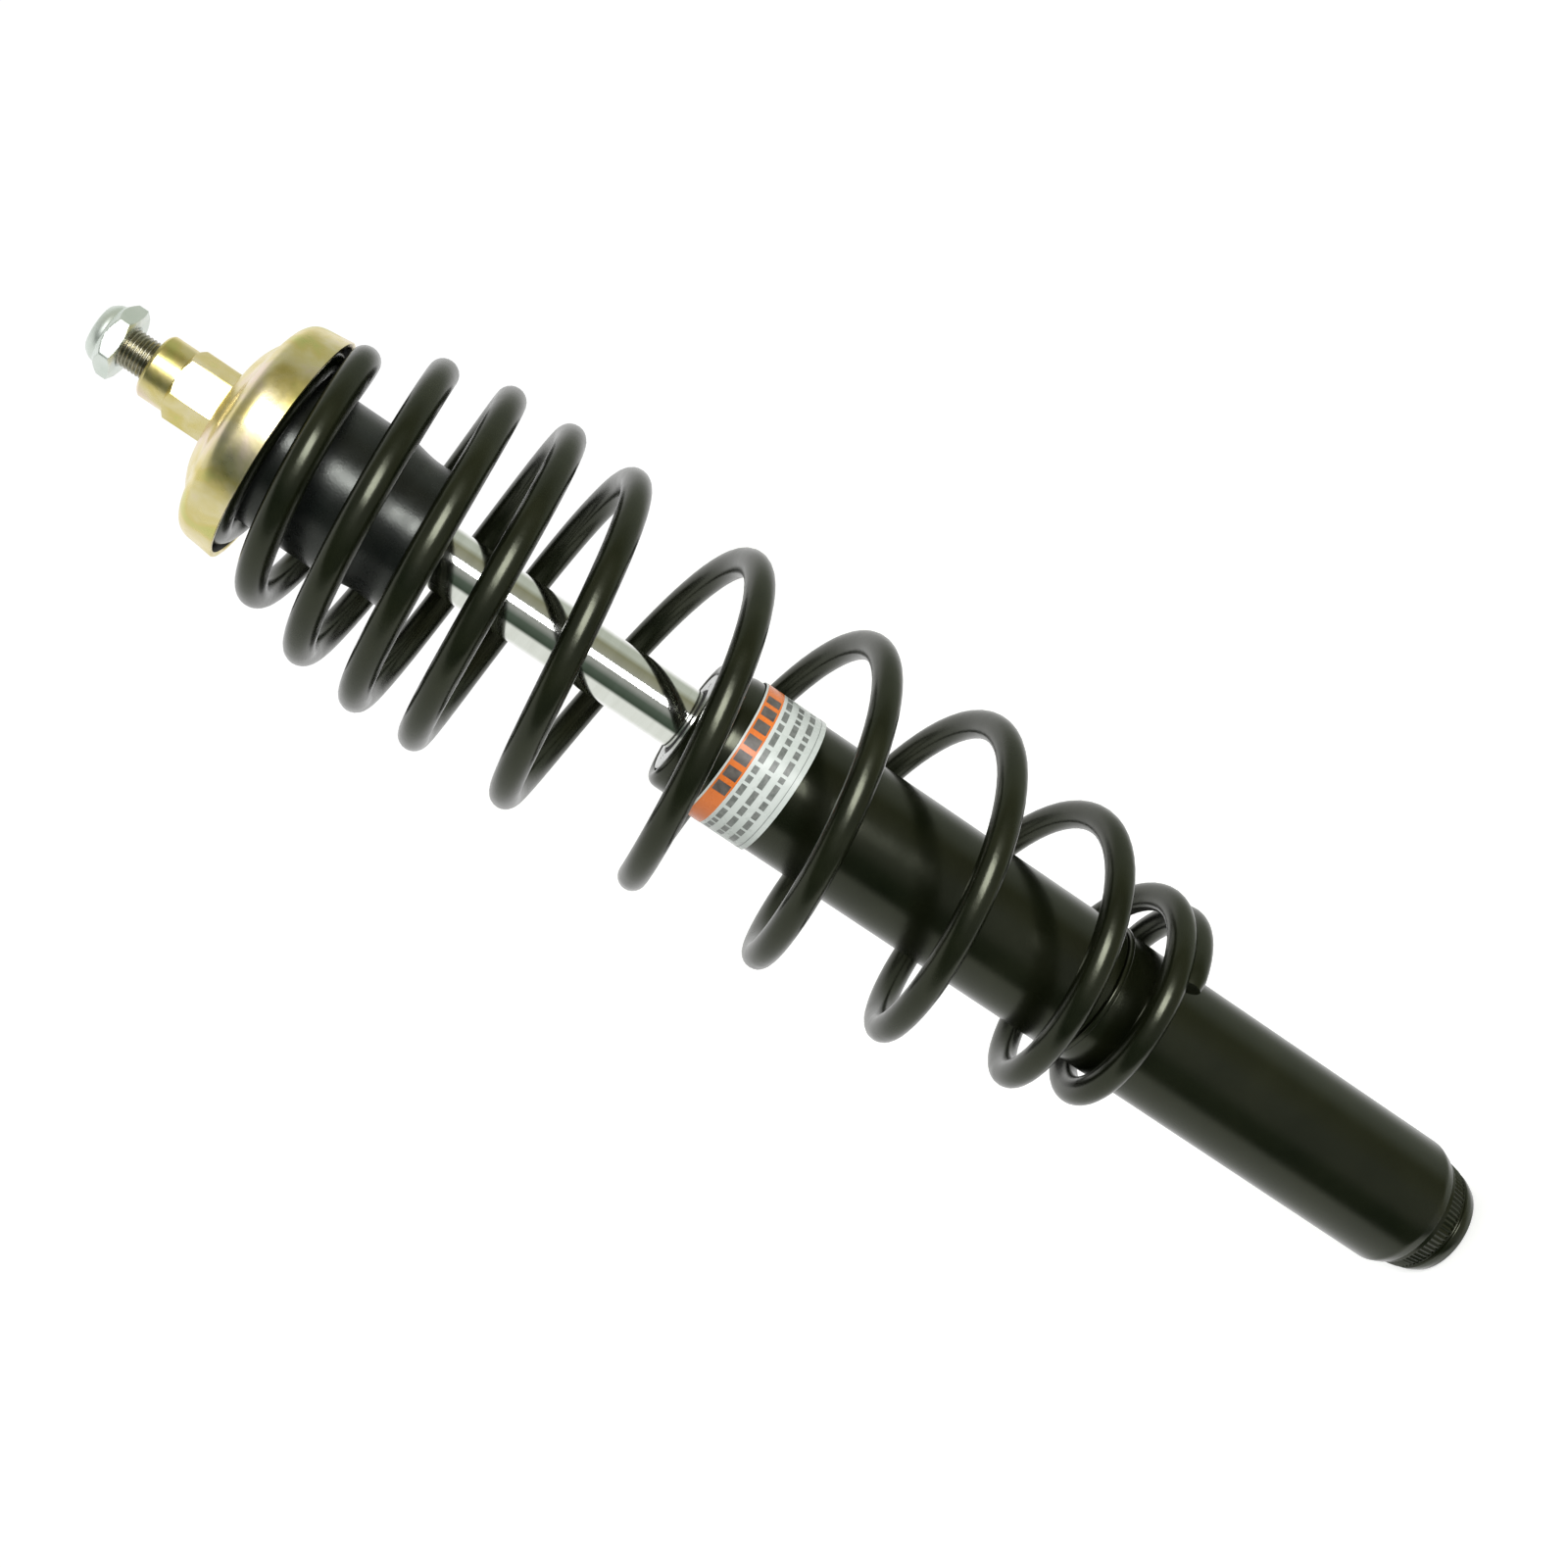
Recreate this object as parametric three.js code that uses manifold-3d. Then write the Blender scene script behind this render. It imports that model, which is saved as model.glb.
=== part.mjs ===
// Front suspension strut: a twin-tube hydraulic damper inside a barrel-shaped coil spring,
// with a pressed upper spring cup, a hexagonal spacer and a lock nut on the rod's stud.
// Millimetres, +Z up. The strut's axis is the Z axis and the foot's flat face is at z = 0.

import * as THREE from "three";
import { mergeVertices } from "three/addons/utils/BufferGeometryUtils.js";
import Module from "manifold-3d";

const wasm = await Module();
wasm.setup();

// Driving dimensions

const GAP = 0.3;                // clearance between pieces that touch
const OUTER_SEGMENTS = 28;      // facets of the pieces that show
const INNER_SEGMENTS = 18;      // facets of the pieces inside the tube

const TUBE_R = 19;              // 38 mm strut tube
const TUBE_WALL = 2;
const TUBE_BOTTOM = 11.4;
const TUBE_TOP = 253.2;
const NECK_R = 18.4;            // the tube above its crimped shoulder
const NECK_BOTTOM = 245.9;
const SHOULDER_BOTTOM = 243.8;
const LIP_R = 14.8;             // inner edge of the rolled lip
const LIP_THICKNESS = 1.6;
const GLAND_BOTTOM = 247.4;

const FOOT_R = 13.9;            // flat face at the very bottom
const FOOT_CAP_TOP = 19;

const RING_Z = 124;             // middle of the retaining ring in the tube
const RING_WIDTH = 1.5;
const RING_R = 19.9;
const RING_OPENING = 18;        // degrees left open at the back

const LABEL_BOTTOM = 223;
const LABEL_TOP = 241.4;
const LABEL_SWEEP = 240;        // degrees of the tube that the label wraps
const LABEL_THICKNESS = 0.25;

const ROD_R = 8.4;              // piston rod
const STUD_R = 5;               // M10 stud and lower spigot
const ROD_BOTTOM = 165;
const PISTON_SHOULDER = 189;
const STUD_SHOULDER = 385.4;
const STUD_TOP = 420.2;

const CYLINDER_R = 12.5;        // bore of the inner cylinder
const CYLINDER_WALL = 1.3;
const CYLINDER_BOTTOM = 27;
const CYLINDER_TOP = 229.2;

const BUMP_R = 20.2;
const BUMP_WAIST_R = 18.7;
const BUMP_BOTTOM = 327.9;
const BUMP_TOP = 385;

const CUP_RIM = 371.5;
const CUP_R = 31.3;
const CUP_WALL = 1.3;
const CUP_TOP = 387.7;

const ACROSS_FLATS = 17;        // both hexagons
const SHOULDER_R = 8.5;         // round shoulder above the spacer's hexagon
const SPACER_BOTTOM = CUP_TOP + GAP;
const SPACER_HEX_TOP = 400.1;
const SPACER_TOP = 407.3;
const SPACER_TURN = 7;          // degrees that its hexagon is turned
const NUT_BOTTOM = 414.4;
const NUT_HEX_TOP = 419.2;
const NUT_TOP = 422.3;
const NUT_COLLAR_R = 7.4;
const NUT_TURN = -3.5;
const STUD_BORE_R = STUD_R + 0.4;

const WIRE_R = 3.85;            // spring wire
const WIRE_SIDES = 8;
const COIL_STEPS_PER_TURN = 20;
const COIL_FIRST_TURN = -0.18;  // turn 0 is the first time that the wire crosses +X
const COIL_LAST_TURN = 11.1;
const COIL_START_Z = 111;       // height of the wire's centre at turn 0
const COIL_R_LOW = 27.5;
const COIL_R_MIDDLE = 41.4;
const COIL_R_HIGH = 24.6;       // the end turn inside the cup
const COIL_SWELL = [0.5, 2.95]; // turns between which the coil widens
const COIL_TAPER_START = 7.3;   // turn at which the coil begins to narrow
const COIL_TAPER = 1.65;
const COIL_TUCK = 26;           // how fast the wire turns in under the cup, per turn
const COIL_TUCK_START = 9.915;
// Rise per turn along the wire, as [turn, rise]; it changes evenly between these.
const COIL_PITCH = [
  [0.15, 0], [1, 18.5], [2, 38.15], [5.57, 38.15], [6.37, 17], [10.3, 17], [10.55, 0.5],
];
// Offset of the coil's centre along +X, as [turn, offset].
const COIL_OFFSET = [[0.4, 3.2], [4.5, 1], [6.5, 0.6], [10, 0.7], [10.3, 0]];
// How far each loop rises on the side that it leans up to, and falls opposite, as [turn, rise].
const COIL_LEAN = [[0.7, 0], [2, 1.1], [4, 1], [6, 0.85], [10, 0.3]];
const COIL_LEAN_SIDE = 65;      // degrees from +X towards +Y

// Helpers

const group = new THREE.Group();

function material(color, roughness, metalness) {
  return new THREE.MeshStandardMaterial({ color, roughness, metalness });
}

function add(name, geometry, finish) {
  const mesh = new THREE.Mesh(geometry, finish);
  mesh.name = name;
  group.add(mesh);
  return mesh;
}

// A body of revolution about Z. The profile is a list of [radius, z], anticlockwise.
function lathe(profile, segments) {
  const points = profile.map(([r, z]) => new THREE.Vector2(r, z));
  const geometry = new THREE.LatheGeometry(points, segments);
  geometry.rotateX(Math.PI / 2);
  return geometry;
}

// A ring about Z: the profile closes on itself.
function ring(profile, segments) {
  return lathe([...profile, profile[0]], segments);
}

// A plain ring between two radii and two heights.
function washer(inner, outer, bottom, top, segments) {
  return ring([[inner, bottom], [outer, bottom], [outer, top], [inner, top]], segments);
}

// A band around Z that covers only part of a turn, centred on the given direction.
function arcBand(inner, outer, bottom, height, centreDegrees, sweepDegrees, segments) {
  const start = THREE.MathUtils.degToRad(centreDegrees - sweepDegrees / 2);
  const end = THREE.MathUtils.degToRad(centreDegrees + sweepDegrees / 2);
  const shape = new THREE.Shape();
  shape.absarc(0, 0, outer, start, end, false);
  shape.absarc(0, 0, inner, end, start, true);
  shape.closePath();
  const settings = { depth: height, bevelEnabled: false, curveSegments: segments };
  return new THREE.ExtrudeGeometry(shape, settings).translate(0, 0, bottom);
}

function hexagon(acrossFlats, bottom, top) {
  const corner = acrossFlats / Math.sqrt(3);
  const shape = new THREE.Shape();
  for (let i = 0; i < 6; i += 1) {
    const angle = (i * Math.PI) / 3;
    const x = corner * Math.cos(angle);
    const y = corner * Math.sin(angle);
    if (i === 0) shape.moveTo(x, y);
    else shape.lineTo(x, y);
  }
  shape.closePath();
  const settings = { depth: top - bottom, bevelEnabled: false };
  return new THREE.ExtrudeGeometry(shape, settings).translate(0, 0, bottom);
}

function toSolid(geometry) {
  const bare = geometry.clone();
  bare.deleteAttribute("normal");
  bare.deleteAttribute("uv");
  const merged = mergeVertices(bare, 1e-4);
  const corners = merged.index.array;
  const kept = [];
  for (let i = 0; i < corners.length; i += 3) {
    const [a, b, c] = [corners[i], corners[i + 1], corners[i + 2]];
    if (a !== b && b !== c && c !== a) kept.push(a, b, c);
  }
  const vertProperties = new Float32Array(merged.attributes.position.array);
  const triVerts = new Uint32Array(kept);
  return new wasm.Manifold(new wasm.Mesh({ numProp: 3, vertProperties, triVerts }));
}

function toGeometry(solid) {
  const mesh = solid.getMesh();
  const geometry = new THREE.BufferGeometry();
  geometry.setAttribute("position", new THREE.BufferAttribute(mesh.vertProperties, 3));
  geometry.setIndex(new THREE.BufferAttribute(mesh.triVerts, 1));
  geometry.computeVertexNormals();
  return geometry;
}

// A value that changes evenly between the stations, and holds past the ends.
function between(stations, x) {
  if (x <= stations[0][0]) return stations[0][1];
  for (let i = 1; i < stations.length; i += 1) {
    const [x0, y0] = stations[i - 1];
    const [x1, y1] = stations[i];
    if (x <= x1) return y0 + ((y1 - y0) * (x - x0)) / (x1 - x0);
  }
  return stations[stations.length - 1][1];
}

// The area under those stations from one x to another: each stretch is a trapezium.
function areaUnder(stations, from, to) {
  const inside = stations.map(([x]) => x).filter((x) => x > from && x < to);
  const stops = [from, ...inside, to];
  let area = 0;
  for (let i = 1; i < stops.length; i += 1) {
    const width = stops[i] - stops[i - 1];
    area += (width * (between(stations, stops[i - 1]) + between(stations, stops[i]))) / 2;
  }
  return area;
}

// Finishes

const blackPaint = material(0x14150f, 0.35, 0.3);
const springPaint = material(0x11130d, 0.25, 0.3);
const chrome = material(0xc9c9c4, 0.12, 1);
const clearZinc = material(0xb9bcc0, 0.3, 0.9);
const yellowZinc = material(0xb59a5a, 0.35, 0.8);
const steel = material(0x8f9193, 0.4, 0.9);
const rubber = material(0x15161a, 0.6, 0);
const nylon = material(0xd8d8d0, 0.5, 0);
const sintered = material(0x6d6e70, 0.6, 0.7);
const bronze = material(0xa9814a, 0.4, 0.9);
const print = material(0xe2742b, 0.5, 0);

// The tube and what closes it

const tubeInner = TUBE_R - TUBE_WALL;
const neckInner = NECK_R - TUBE_WALL;

function strutTube() {
  const grooveHalf = RING_WIDTH / 2 + GAP;
  const grooveR = TUBE_R - 0.9;
  return ring([
    [tubeInner, TUBE_BOTTOM],
    [TUBE_R - 1.2, TUBE_BOTTOM],
    [TUBE_R, TUBE_BOTTOM + 3],
    [TUBE_R, RING_Z - grooveHalf],
    [grooveR, RING_Z - grooveHalf],
    [grooveR, RING_Z + grooveHalf],
    [TUBE_R, RING_Z + grooveHalf],
    [TUBE_R, SHOULDER_BOTTOM],
    [TUBE_R - 0.3, SHOULDER_BOTTOM + 1.4],
    [NECK_R, NECK_BOTTOM],
    [NECK_R, TUBE_TOP - 2.6],
    [NECK_R - 0.6, TUBE_TOP - 1.1],
    [NECK_R - 1.7, TUBE_TOP - 0.2],
    [NECK_R - 2.9, TUBE_TOP],
    [LIP_R, TUBE_TOP - 0.5],
    [LIP_R, TUBE_TOP - LIP_THICKNESS],
    [neckInner, TUBE_TOP - LIP_THICKNESS],
    [neckInner, NECK_BOTTOM],
    [tubeInner, SHOULDER_BOTTOM],
  ], OUTER_SEGMENTS);
}

// The plug in the tube's foot: a tapered, ringed skirt below and a spigot inside the tube.
function footCap() {
  const skirtTop = TUBE_BOTTOM - GAP;
  const spigotR = tubeInner - 0.35;
  return lathe([
    [0, 0],
    [FOOT_R, 0],
    [FOOT_R + 1.3, 2.6],
    [FOOT_R + 1.6, 4.2],
    [FOOT_R + 1.2, 4.5],
    [FOOT_R + 1.2, 5.1],
    [FOOT_R + 2.1, 5.4],
    [FOOT_R + 3, 10],
    [FOOT_R + 3, skirtTop],
    [spigotR, skirtTop],
    [spigotR, FOOT_CAP_TOP],
    [0, FOOT_CAP_TOP],
  ], OUTER_SEGMENTS);
}

function glandCap() {
  const bossR = LIP_R - 0.4;
  const seatTop = TUBE_TOP - LIP_THICKNESS - GAP;
  return ring([
    [ROD_R + 0.5, GLAND_BOTTOM],
    [neckInner - 0.4, GLAND_BOTTOM],
    [neckInner - 0.4, seatTop],
    [bossR, seatTop],
    [bossR, TUBE_TOP - 0.2],
    [ROD_R + 0.9, TUBE_TOP - 0.2],
    [ROD_R + 0.5, TUBE_TOP - 0.6],
  ], OUTER_SEGMENTS);
}

function snapRing() {
  const inner = TUBE_R - 0.55;
  const bottom = RING_Z - RING_WIDTH / 2;
  return arcBand(inner, RING_R, bottom, RING_WIDTH, -90, 360 - RING_OPENING, 40);
}

function label() {
  const inner = TUBE_R + 0.35;
  const height = LABEL_TOP - LABEL_BOTTOM;
  return arcBand(inner, inner + LABEL_THICKNESS, LABEL_BOTTOM, height, -90, LABEL_SWEEP, 30);
}

add("strut_tube", strutTube(), blackPaint);
add("foot_cap", footCap(), blackPaint);
add("gland_cap", glandCap(), clearZinc);
add("snap_ring", snapRing(), blackPaint);
add("label", label(), print);

// The rod's seal and guide at the top of the tube

const bushOuter = ROD_R + 2.1;
const guideBottom = 222.2;
const guideTop = 243.4;
const oRingBottom = 237.2;
const oRingTop = 240.2;

function rodGuide() {
  const outer = tubeInner - 0.4;
  const grooveR = outer - 1.5;
  const spigotR = CYLINDER_R - 0.4;
  return ring([
    [bushOuter + GAP, guideBottom],
    [spigotR, guideBottom],
    [spigotR, CYLINDER_TOP + GAP],
    [outer, CYLINDER_TOP + GAP],
    [outer, oRingBottom],
    [grooveR, oRingBottom],
    [grooveR, oRingTop],
    [outer, oRingTop],
    [outer, guideTop - 0.6],
    [outer - 0.6, guideTop],
    [bushOuter + GAP, guideTop],
  ], OUTER_SEGMENTS);
}

function guideBush() {
  return washer(ROD_R + 0.35, bushOuter, guideBottom + 0.3, guideTop - 0.6, INNER_SEGMENTS);
}

function oRing() {
  const inner = tubeInner - 1.6;
  const outer = tubeInner - 0.25;
  const bottom = oRingBottom + GAP;
  const top = oRingTop - GAP;
  const corner = 0.4;
  return ring([
    [inner, bottom + corner],
    [inner + corner, bottom],
    [outer - corner, bottom],
    [outer, bottom + corner],
    [outer, top - corner],
    [outer - corner, top],
    [inner + corner, top],
    [inner, top - corner],
  ], OUTER_SEGMENTS);
}

function rodSeal() {
  const bottom = guideTop + 0.7;
  const top = GLAND_BOTTOM - GAP;
  return ring([
    [ROD_R + 1.2, bottom],
    [14.5, bottom],
    [14.5, top],
    [ROD_R + 0.9, top],
    [ROD_R + 0.35, top - 0.8],
    [ROD_R + 0.9, top - 1.7],
  ], INNER_SEGMENTS);
}

add("rod_guide", rodGuide(), sintered);
add("guide_bush", guideBush(), bronze);
add("gland_o_ring", oRing(), rubber);
add("rod_seal", rodSeal(), rubber);

// The inner cylinder and the base valve at its foot

function baseValveBody() {
  const bottom = FOOT_CAP_TOP + 0.4;
  const seatZ = CYLINDER_BOTTOM - GAP;
  const stemR = 2.5;
  return lathe([
    [0, bottom],
    [tubeInner - 0.5, bottom],
    [tubeInner - 0.5, 22],
    [CYLINDER_R + 2.1, 22],
    [CYLINDER_R + 2.1, seatZ],
    [CYLINDER_R - 0.4, seatZ],
    [CYLINDER_R - 0.4, 33],
    [stemR, 33],
    [stemR, 38.4],
    [5, 38.4],
    [5, 39.8],
    [0, 39.8],
  ], INNER_SEGMENTS);
}

function baseValveSpring() {
  return ring([
    [3.4, 37.1],
    [8.2, 34.9],
    [9, 34.9],
    [9, 35.5],
    [3.9, 38],
    [3.4, 38],
  ], INNER_SEGMENTS);
}

function innerCylinder() {
  const outer = CYLINDER_R + CYLINDER_WALL;
  return washer(CYLINDER_R, outer, CYLINDER_BOTTOM, CYLINDER_TOP, INNER_SEGMENTS);
}

add("inner_cylinder", innerCylinder(), steel);
add("base_valve_body", baseValveBody(), sintered);
add("base_valve_plate", washer(2.9, 9.5, 33.4, 34.5, INNER_SEGMENTS), steel);
add("base_valve_spring", baseValveSpring(), steel);

// The rod, and the piston with its valves on the rod's lower spigot

function pistonRod() {
  return lathe([
    [0, ROD_BOTTOM],
    [STUD_R - 0.5, ROD_BOTTOM],
    [STUD_R, ROD_BOTTOM + 0.5],
    [STUD_R, PISTON_SHOULDER],
    [ROD_R, PISTON_SHOULDER],
    [ROD_R, STUD_SHOULDER],
    [STUD_R, STUD_SHOULDER],
    [STUD_R, STUD_TOP - 0.8],
    [STUD_R - 0.8, STUD_TOP],
    [0, STUD_TOP],
  ], INNER_SEGMENTS);
}

const spigotBore = STUD_R + 0.35;
const pistonBottom = 176;
const pistonTop = 186.3;
const bandBottom = 178.2;
const bandTop = 184.1;
const pistonR = CYLINDER_R - 0.7;
const bandR = CYLINDER_R - 0.25;

function piston() {
  const grooveR = pistonR - 1;
  return ring([
    [spigotBore, pistonBottom],
    [pistonR, pistonBottom],
    [pistonR, bandBottom - GAP],
    [grooveR, bandBottom - GAP],
    [grooveR, bandTop + GAP],
    [pistonR, bandTop + GAP],
    [pistonR, pistonTop],
    [spigotBore, pistonTop],
  ], INNER_SEGMENTS);
}

// A short stack of discs that step outwards: the largest lies against the piston.
function shims(piston, away) {
  const step = 0.65;
  const z = [0, 1, 2, 3].map((i) => piston + away * (GAP + i * step));
  const steps = [
    [spigotBore, z[0]], [10.6, z[0]], [10.6, z[1]], [9, z[1]],
    [9, z[2]], [7.6, z[2]], [7.6, z[3]], [spigotBore, z[3]],
  ];
  return ring(away > 0 ? steps : steps.reverse(), INNER_SEGMENTS);
}

function pistonNut() {
  const bottom = 167.2;
  const top = 173.4;
  const blank = toSolid(hexagon(15, bottom, top));
  const bore = toSolid(lathe([
    [0, bottom - 1], [spigotBore, bottom - 1], [spigotBore, top + 1], [0, top + 1],
  ], INNER_SEGMENTS));
  return toGeometry(blank.subtract(bore));
}

function reboundStop() {
  const bottom = 212;
  const top = 219;
  const bore = ROD_R + 0.35;
  return ring([
    [bore, bottom],
    [11.2, bottom],
    [11.8, bottom + 1],
    [11.8, top - 2],
    [11, top],
    [bore, top],
  ], INNER_SEGMENTS);
}

add("piston_rod", pistonRod(), chrome);
add("rebound_stop", reboundStop(), nylon);
add("compression_shims", shims(pistonTop, 1), steel);
add("piston", piston(), sintered);
add("piston_band", washer(pistonR - 0.7, bandR, bandBottom, bandTop, INNER_SEGMENTS), nylon);
add("rebound_shims", shims(pistonBottom, -1), steel);
add("piston_nut", pistonNut(), steel);

// The bump stop, the cup and the fasteners at the rod's upper end

function bumpStop() {
  const bore = ROD_R + 0.4;
  return ring([
    [bore, BUMP_BOTTOM],
    [15.6, BUMP_BOTTOM],
    [18.2, BUMP_BOTTOM + 1.2],
    [19.3, BUMP_BOTTOM + 4],
    [BUMP_WAIST_R, BUMP_BOTTOM + 11.2],
    [19.5, BUMP_BOTTOM + 14.8],
    [BUMP_R, BUMP_BOTTOM + 18.6],
    [BUMP_R, BUMP_TOP - 6],
    [18.4, BUMP_TOP - 2],
    [15, BUMP_TOP - 0.6],
    [12, BUMP_TOP],
    [bore, BUMP_TOP],
  ], OUTER_SEGMENTS);
}

// A pressed dome with a smaller dome on top, open below.
function upperCup() {
  const plateBottom = CUP_TOP - 2;
  const outer = [
    [CUP_R, CUP_RIM],
    [CUP_R, CUP_RIM + 0.7],
    [30.7, CUP_TOP - 11.7],
    [30.2, CUP_TOP - 8.6],
    [29.4, CUP_TOP - 6.8],
    [27.7, CUP_TOP - 5.4],
    [25.2, CUP_TOP - 4.4],
    [22.2, CUP_TOP - 3.7],
    [20.5, CUP_TOP - 2.4],
    [17.7, CUP_TOP - 1],
    [13.4, CUP_TOP - 0.1],
    [STUD_BORE_R, CUP_TOP],
  ];
  const inner = [
    [STUD_BORE_R, plateBottom],
    [12.8, plateBottom],
    [16.8, CUP_TOP - 2.9],
    [19.6, CUP_TOP - 4.4],
    [21.3, CUP_TOP - 5.6],
    [24.6, CUP_TOP - 6.4],
    [26.5, CUP_TOP - 7.4],
    [27.9, CUP_TOP - 8.7],
    [28.7, CUP_TOP - 10.4],
    [29.1, CUP_TOP - 12.3],
    [CUP_R - CUP_WALL, CUP_RIM],
  ];
  return ring([...inner, ...outer], OUTER_SEGMENTS);
}

function springIsolator() {
  const bottom = CUP_TOP - 8.2;
  return ring([
    [21, bottom],
    [26, bottom],
    [26, bottom + 0.6],
    [24.2, bottom + 1.4],
    [21.6, bottom + 1.9],
    [21, bottom + 1.8],
  ], INNER_SEGMENTS);
}

// The slanted corners that turning leaves on a hexagon's ends.
function turnedBlank(acrossFlats, bottom, top) {
  const corner = acrossFlats / Math.sqrt(3);
  const flat = acrossFlats / 2;
  const slope = (corner - flat) * 0.6;
  return toSolid(lathe([
    [0, bottom],
    [flat, bottom],
    [corner + 0.1, bottom + slope],
    [corner + 0.1, top - slope],
    [flat, top],
    [0, top],
  ], OUTER_SEGMENTS));
}

function hexSpacer() {
  const hex = toSolid(hexagon(ACROSS_FLATS, SPACER_BOTTOM, SPACER_HEX_TOP));
  const collar = toSolid(lathe([
    [0, SPACER_HEX_TOP - 2],
    [SHOULDER_R, SPACER_HEX_TOP - 2],
    [SHOULDER_R, SPACER_TOP - 0.8],
    [SHOULDER_R - 0.8, SPACER_TOP],
    [0, SPACER_TOP],
  ], OUTER_SEGMENTS));
  const bore = toSolid(lathe([
    [0, SPACER_BOTTOM - 1],
    [STUD_BORE_R, SPACER_BOTTOM - 1],
    [STUD_BORE_R, SPACER_TOP + 1],
    [0, SPACER_TOP + 1],
  ], INNER_SEGMENTS));
  const blank = hex.intersect(turnedBlank(ACROSS_FLATS, SPACER_BOTTOM, SPACER_HEX_TOP));
  return toGeometry(blank.add(collar).subtract(bore));
}

const insertTop = NUT_TOP - 0.9;
const insertPocketR = NUT_COLLAR_R - 0.5;

function lockNut() {
  const hex = toSolid(hexagon(ACROSS_FLATS, NUT_BOTTOM, NUT_HEX_TOP));
  const collar = toSolid(lathe([
    [0, NUT_HEX_TOP - 2],
    [NUT_COLLAR_R + 0.3, NUT_HEX_TOP - 2],
    [NUT_COLLAR_R + 0.3, NUT_HEX_TOP + 0.3],
    [NUT_COLLAR_R, NUT_TOP - 1.5],
    [NUT_COLLAR_R - 0.3, NUT_TOP - 0.5],
    [NUT_COLLAR_R - 0.9, NUT_TOP],
    [0, NUT_TOP],
  ], OUTER_SEGMENTS));
  const bore = toSolid(lathe([
    [0, NUT_BOTTOM - 1],
    [STUD_BORE_R, NUT_BOTTOM - 1],
    [STUD_BORE_R, NUT_HEX_TOP],
    [insertPocketR, NUT_HEX_TOP],
    [insertPocketR, insertTop + GAP],
    [insertPocketR - 0.8, insertTop + GAP],
    [insertPocketR - 0.8, NUT_TOP + 1],
    [0, NUT_TOP + 1],
  ], INNER_SEGMENTS));
  const blank = hex.intersect(turnedBlank(ACROSS_FLATS, NUT_BOTTOM, NUT_HEX_TOP));
  return toGeometry(blank.add(collar).subtract(bore));
}

add("bump_stop", bumpStop(), rubber);
add("upper_spring_cup", upperCup(), yellowZinc);
add("spring_isolator", springIsolator(), rubber);
add("hex_spacer", hexSpacer(), yellowZinc).rotation.z = THREE.MathUtils.degToRad(SPACER_TURN);
add("lock_nut", lockNut(), clearZinc).rotation.z = THREE.MathUtils.degToRad(NUT_TURN);
const insertR = insertPocketR - 0.3;
const insertBottom = NUT_HEX_TOP + GAP;
add("nut_nylon_insert", washer(STUD_BORE_R, insertR, insertBottom, insertTop, INNER_SEGMENTS), nylon);

// The coil spring: a right-handed barrel, closed at its lower end and narrowing into the cup

function coilRadius(turn) {
  const [start, end] = COIL_SWELL;
  const swell = THREE.MathUtils.smoothstep(turn, start, end);
  const low = COIL_R_LOW + (COIL_R_MIDDLE - COIL_R_LOW) * swell;
  const narrowing = Math.min(turn, COIL_TUCK_START) - COIL_TAPER_START;
  const tapered = low - COIL_TAPER * Math.max(0, narrowing) ** 2;
  const tuck = COIL_TUCK * Math.max(0, turn - COIL_TUCK_START);
  return Math.max(COIL_R_HIGH, tapered - tuck);
}

class CoilCurve extends THREE.Curve {
  getPoint(t, target = new THREE.Vector3()) {
    const turn = COIL_FIRST_TURN + (COIL_LAST_TURN - COIL_FIRST_TURN) * t;
    const angle = 2 * Math.PI * turn;
    const r = coilRadius(turn);
    const x = between(COIL_OFFSET, turn) + r * Math.cos(angle);
    const lean = between(COIL_LEAN, turn) * Math.cos(angle - THREE.MathUtils.degToRad(COIL_LEAN_SIDE));
    const z = COIL_START_Z + areaUnder(COIL_PITCH, 0, Math.max(0, turn)) + lean;
    return target.set(x, r * Math.sin(angle), z);
  }
}

function coilSpring() {
  const section = new THREE.Shape();
  for (let i = 0; i < WIRE_SIDES; i += 1) {
    const angle = ((i + 0.5) * 2 * Math.PI) / WIRE_SIDES;
    const x = WIRE_R * Math.cos(angle);
    const y = WIRE_R * Math.sin(angle);
    if (i === 0) section.moveTo(x, y);
    else section.lineTo(x, y);
  }
  section.closePath();
  const turns = COIL_LAST_TURN - COIL_FIRST_TURN;
  const settings = {
    steps: Math.round(turns * COIL_STEPS_PER_TURN),
    bevelEnabled: false,
    extrudePath: new CoilCurve(),
  };
  return new THREE.ExtrudeGeometry(section, settings);
}

add("coil_spring", coilSpring(), springPaint);

export default group;
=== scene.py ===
"""A front suspension strut in Blender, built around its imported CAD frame.

Lengths are in metres and +Z is up, along the strut. Shapes are given in millimetres and scaled
once, in new_piece. An angle around the strut is counted from -Y, the camera's side, towards +X.
"""

import math
import random

import bmesh
import bpy
from mathutils import Matrix, Vector


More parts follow.
